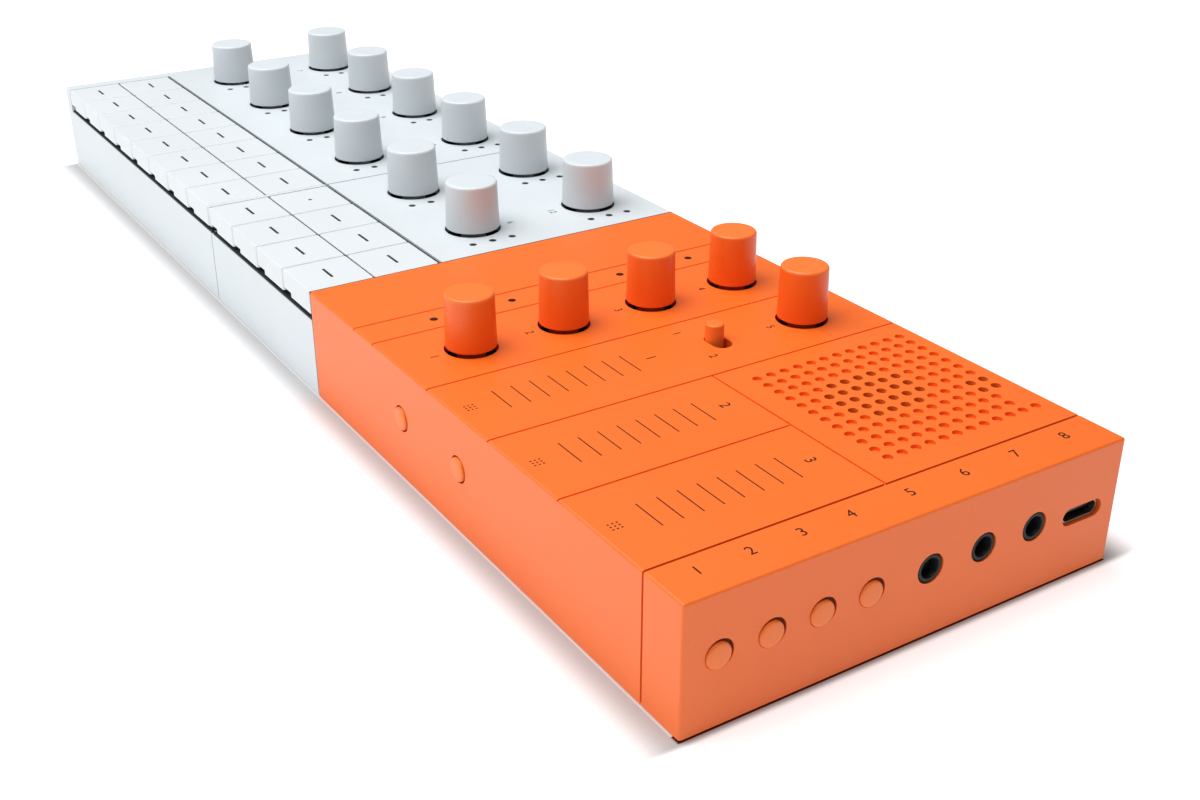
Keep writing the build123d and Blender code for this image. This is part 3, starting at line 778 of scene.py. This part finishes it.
def fitJacks():
    face, depth = jacks["face"] * mm, jacks["depth"] * mm
    nose, bore, cut = jacks["nose"] * mm, jacks["bore"] * mm, jacks["chamfer"] * mm
    front = jacks["bodyFront"] * mm
    size = Vector(jacks["body"]) * mm
    pieces = []
    for i, place in enumerate(jacks["places"]):
        steps = [(front, nose), (face - cut, nose), (face, nose - cut)]
        steps += [(face, bore + cut), (face - cut * 2, bore), (face - depth, bore)]
        pieces.append(turned("jack" + str(i + 1), "X", Vector(place), steps, sides=64))
        body = blockAt((front - size.x / 2, place[1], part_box("sockets")[1].z - size.z / 2), size)
        pickFaces(body, lambda face: face.normal.x > 0.9)
        bpy.ops.mesh.inset(thickness=(size.y - 2 * nose) / 2)
        bpy.ops.mesh.delete(type="FACE")
        bpy.ops.object.mode_set(mode="OBJECT")
        pieces.append(settle(body, "jackBody" + str(i + 1)))
    fit(joined(pieces, "audioJacks"), "chassis", "jackPlastic", "sockets")


def fitDataSocket():
    mount = next(m["pos_m"] for m in frame["record"]["mounts"] if m["name"] == "data_socket")
    radius = dataSocket["height"] / 2 * mm
    side = dataSocket["width"] / 2 * mm - radius
    back, face = dataSocket["back"] * mm, dataSocket["face"] * mm
    deselect()
    bpy.ops.mesh.primitive_circle_add(vertices=64, radius=radius, fill_type="NGON",
                                      location=(back, mount[1], mount[2]), rotation=(0, math.pi / 2, 0))
    shell = bpy.context.object
    bpy.ops.object.transform_apply(location=True, rotation=True, scale=True)
    bpy.ops.object.mode_set(mode="EDIT")
    bpy.ops.mesh.select_mode(type="VERT")
    for way in (-1, 1):
        mesh = bmesh.from_edit_mesh(shell.data)
        for corner in mesh.verts:
            corner.select_set((corner.co.y - mount[1]) * way > 1e-6)
        bmesh.update_edit_mesh(shell.data)
        bpy.ops.transform.translate(value=(0, way * side, 0))
    bpy.ops.mesh.select_all(action="SELECT")
    bpy.ops.mesh.select_mode(type="FACE")
    bpy.ops.mesh.extrude_region_move(TRANSFORM_OT_translate={"value": (face - back, 0, 0)})
    bpy.ops.mesh.inset(thickness=dataSocket["wall"] * mm)
    mouth = dataSocket["mouthDepth"] * mm
    bpy.ops.mesh.extrude_region_move(TRANSFORM_OT_translate={"value": (-mouth, 0, 0)})
    bpy.ops.object.mode_set(mode="OBJECT")
    fit(settle(shell, "dataSocketShell"), "chassis", "socketSteel")

    size = Vector(dataSocket["tongue"]) * mm
    centre = (face - mouth + size.x / 2, mount[1], mount[2])
    tongue = softBlock("dataSocketTongue", centre, size, dataSocket["tongueRound"] * mm)
    fit(tongue, "chassis", "blackPlastic")


fitJacks()
fitDataSocket()
print("sockets set in the end cap")


# Printed marks: strip lines, dot blocks and plain numbers

ink = {"height": 0.02}
stripMarks = {
    "columns": (98.4, 122.9, 147.6),
    "lineLength": 7.9,
    "lineWidth": 0.24,
    "lines": 8,
    "firstY": -38.3,
    "pitch": 4.13,
    "blockY": -44.9,
    "blockPitch": 0.85,
    "blockDot": 0.2,
    "blockCount": 3,
}


def inkBar(x, y, width, depth):
    deselect()
    bpy.ops.mesh.primitive_plane_add(size=1, location=(x * mm, y * mm, panelTop))
    bar = bpy.context.object
    bar.scale = (width * mm, depth * mm, 1)
    bpy.ops.object.transform_apply(location=True, rotation=True, scale=True)
    bpy.ops.object.mode_set(mode="EDIT")
    bpy.ops.mesh.select_all(action="SELECT")
    bpy.ops.mesh.extrude_region_move(TRANSFORM_OT_translate={"value": (0, 0, ink["height"] * mm)})
    bpy.ops.object.mode_set(mode="OBJECT")
    return settle(bar, "inkBar")


def inkDot(x, y, radius):
    steps = [(panelTop, radius * mm), (panelTop + ink["height"] * mm, radius * mm)]
    return turned("inkDot", "Z", Vector((x * mm, y * mm, 0)), steps, sides=12)


def printStrips():
    length, width = stripMarks["lineLength"], stripMarks["lineWidth"]
    firstX, firstY = stripMarks["columns"][0], stripMarks["firstY"]
    bar = inkBar(firstX, firstY, length, width)
    dot = inkDot(firstX, firstY, stripMarks["blockDot"])
    marks = []
    for x in stripMarks["columns"]:
        for i in range(stripMarks["lines"]):
            shift = Vector((x - firstX, i * stripMarks["pitch"], 0)) * mm
            marks.append(copyTo(bar, "stripLine", shift))
        reach = (stripMarks["blockCount"] - 1) / 2 * stripMarks["blockPitch"]
        for i in range(stripMarks["blockCount"]):
            for j in range(stripMarks["blockCount"]):
                dx = x - firstX + i * stripMarks["blockPitch"] - reach
                dy = stripMarks["blockY"] - firstY + j * stripMarks["blockPitch"] - reach
                marks.append(copyTo(dot, "stripDot", Vector((dx, dy, 0)) * mm))
    bpy.data.objects.remove(bar)
    bpy.data.objects.remove(dot)
    fit(joined(marks, "stripMarks"), "chassis", "brownInk")


numbers = {
    "size": 3.3,
    "smallSize": 2.7,
    "capX": 165.1,
    "stripY": -4.5,
    "knobFrontShift": (1.5, 9.6),
    "knobBackShift": (0.0, -10.7),
    "orangeShift": (0.0, -8.35),
    "sliderPlaces": ((91.6, 6.6), (104.4, 6.5)),
}


def plainNumber(value, x, y, size, turn=0):
    deselect()
    bpy.ops.object.text_add(location=(x * mm, y * mm, panelTop), rotation=(0, 0, math.radians(turn)))
    text = bpy.context.object
    text.data.body = str(value)
    text.data.size = size * mm
    text.data.align_x = "CENTER"
    text.data.align_y = "CENTER"
    text.data.resolution_u = 6
    bpy.ops.object.convert(target="MESH")
    piece = bpy.context.object
    bpy.ops.object.transform_apply(location=True, rotation=True, scale=True)
    bpy.ops.object.mode_set(mode="EDIT")
    bpy.ops.mesh.select_all(action="SELECT")
    bpy.ops.mesh.remove_doubles(threshold=1e-6)
    bpy.ops.mesh.extrude_region_move(TRANSFORM_OT_translate={"value": (0, 0, ink["height"] * mm)})
    bpy.ops.object.mode_set(mode="OBJECT")
    return settle(piece, "number")


def printNumbers():
    marks = []
    ends = sorted(n for n in nodes if n.startswith("end_button_"))
    rows = [middle(n).y / mm for n in ends] + [p[1] / mm for p in jacks["places"]]
    rows.append(next(m["pos_m"][1] for m in frame["record"]["mounts"] if m["name"] == "data_socket") / mm)
    for i, y in enumerate(rows):
        marks.append(plainNumber(i + 1, numbers["capX"], y, numbers["size"], 90))
    for i, x in enumerate(stripMarks["columns"]):
        marks.append(plainNumber(i + 1, x, numbers["stripY"], numbers["size"]))
    for i, name in enumerate(sorted(n for n in nodes if n.startswith("orange_knob_"))):
        place = middle(name) / mm
        shiftX, shiftY = numbers["orangeShift"]
        marks.append(plainNumber(i + 1, place.x + shiftX, place.y + shiftY, numbers["smallSize"]))
    for i, (x, y) in enumerate(numbers["sliderPlaces"]):
        marks.append(plainNumber(i + 1, x, y, numbers["smallSize"]))
    fit(joined(marks, "orangeNumbers"), "chassis", "brownInk")

    marks = []
    for i, name in enumerate(sorted(n for n in nodes if n.startswith("white_knob_"))):
        place = middle(name) / mm
        shiftX, shiftY = numbers["knobFrontShift"] if i < 6 else numbers["knobBackShift"]
        marks.append(plainNumber(i + 1, place.x + shiftX, place.y + shiftY, numbers["smallSize"]))
    fit(joined(marks, "whiteNumbers"), "chassis", "greyInk")


printStrips()
printNumbers()
print("marks printed")


# Feet under the base cover

feet = {"radius": 6.0, "edge": 0.35, "top": 1.5}


def fitFeet():
    low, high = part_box("rubber_feet")
    radius, edge = feet["radius"] * mm, feet["edge"] * mm
    steps = [(feet["top"] * mm, radius)] + rounded(edge, radius - edge, edge, 90, 180)
    steps += [(0.0, radius * 0.5), (0.0, radius * 0.1)]
    columns = (low.x + radius, (low.x + high.x) / 2, high.x - radius)
    rows = (low.y + radius, high.y - radius)
    first = turned("foot", "Z", Vector((columns[0], rows[0], 0)), steps, sides=48)
    group = [copyTo(first, "foot", Vector((x - columns[0], y - rows[0], 0))) for x in columns for y in rows]
    bpy.data.objects.remove(first)
    fit(joined(group, "rubberFeet"), "chassis", "footRubber", "rubber_feet")


fitFeet()
print("feet seated")
